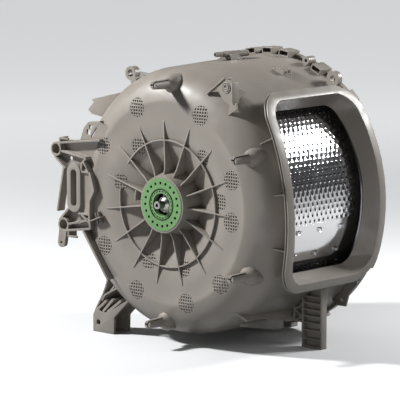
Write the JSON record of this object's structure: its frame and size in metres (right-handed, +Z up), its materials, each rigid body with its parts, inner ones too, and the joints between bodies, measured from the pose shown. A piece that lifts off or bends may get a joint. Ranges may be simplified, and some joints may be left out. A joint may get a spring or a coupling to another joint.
{
  "type": "washing machine tub",
  "caption": "Grey moulded tub of a top-loading washing machine, with a side mouth, its perforated steel drum, bearings, motor bracket, leg and seam clips.",
  "frame": {"origin": "on the drum axis, in the plane of the outer face of the drive-end hub", "axes": "the drum axis is Y, the drive shaft points to -Y, the mouth faces +X and +Z is up as the tub stands"},
  "size_m": [0.5708, 0.392, 0.54],
  "materials": {
    "tub_plastic": "warm grey mineral-filled polypropylene, moulded satin",
    "carrier_plastic": "green moulded plastic",
    "drum_steel": "bright rolled stainless steel, perforated",
    "shaft_steel": "turned steel",
    "bearing_steel": "ground bearing steel",
    "bolt_steel": "zinc plated",
    "flange_casting": "as cast",
    "seal_rubber": "black moulded rubber",
    "lifter_plastic": "light grey moulded plastic",
    "latch_plastic": "grey moulded plastic"
  },
  "bodies": {
    "tub": {"barrel_clip": "tub_plastic", "barrel_shell": "tub_plastic", "bearing_balls": "bearing_steel", "cable_tab": "tub_plastic", "drain_outlet": "tub_plastic", "drive_bearing_carrier": "carrier_plastic", "drive_end_shell": "tub_plastic", "drive_outer_race": "bearing_steel", "drive_shaft_seal": "seal_rubber", "eye_lug": "tub_plastic", "far_bearing_carrier": "carrier_plastic", "far_cover": "tub_plastic", "far_outer_race": "bearing_steel", "far_ribs": "tub_plastic", "far_shaft_seal": "seal_rubber", "flange_eye": "tub_plastic", "hanger_ear": "tub_plastic", "keel_plates": "tub_plastic", "motor_bracket": "tub_plastic", "mouth_collar": "tub_plastic", "mouth_gussets": "tub_plastic", "radial_ribs": "tub_plastic", "rear_foot": "tub_plastic", "rear_tab": "tub_plastic", "ring_boss": "tub_plastic", "seam_clips": "tub_plastic", "seam_seal": "seal_rubber", "shock_bracket": "tub_plastic", "side_rail": "tub_plastic", "snap_rings": "bearing_steel", "support_leg": "tub_plastic", "tangent_web": "tub_plastic", "vent_tube": "tub_plastic", "weight_post_1": "tub_plastic", "weight_post_2": "tub_plastic", "weight_post_3": "tub_plastic", "weight_post_4": "tub_plastic", "wing_bracket": "tub_plastic"},
    "drum": {"drive_end_disc": "drum_steel", "drive_inner_race": "bearing_steel", "drive_shaft": "shaft_steel", "drive_shaft_flange": "flange_casting", "drum_skin": "drum_steel", "far_end_disc": "drum_steel", "far_inner_race": "bearing_steel", "far_shaft": "shaft_steel", "far_shaft_flange": "flange_casting", "flange_bolts": "bolt_steel", "front_hinge_rod": "shaft_steel", "hinge_blocks": "drum_steel", "lifter_1": "lifter_plastic", "lifter_2": "lifter_plastic", "lifter_3": "lifter_plastic", "lifter_hooks": "drum_steel", "rear_hinge_rod": "shaft_steel", "shaft_spacer": "shaft_steel"},
    "front_flap": {"front_flap": "drum_steel", "latch_housing": "latch_plastic"},
    "rear_flap": {"rear_flap": "drum_steel"},
    "latch_button": {"latch_button": "latch_plastic"}
  },
  "joints": [
    {"name": "drum_spin", "type": "hinge", "parent": "tub", "child": "drum", "pos_m": [0, 0, 0], "axis": [0, 1, 0], "continuous": true},
    {"name": "front_flap_swing", "type": "hinge", "parent": "drum", "child": "front_flap", "pos_m": [-0.13856, 0.183, 0.17345], "axis": [0, 1, 0], "range_deg": [0, 5]},
    {"name": "rear_flap_swing", "type": "hinge", "parent": "drum", "child": "rear_flap", "pos_m": [-0.21186, 0.183, -0.06632], "axis": [0, 1, 0], "range_deg": [-5, 0]},
    {"name": "latch_press", "type": "slide", "parent": "front_flap", "child": "latch_button", "axis": [0.9273, 0, -0.3743], "range_m": [0, 0.0025], "stiffness_N_per_m": 300, "springref_m": -0.0015}
  ],
  "couplings": [
    {"joint": "rear_flap_swing", "follows": "front_flap_swing", "ratio": -1}
  ]
}
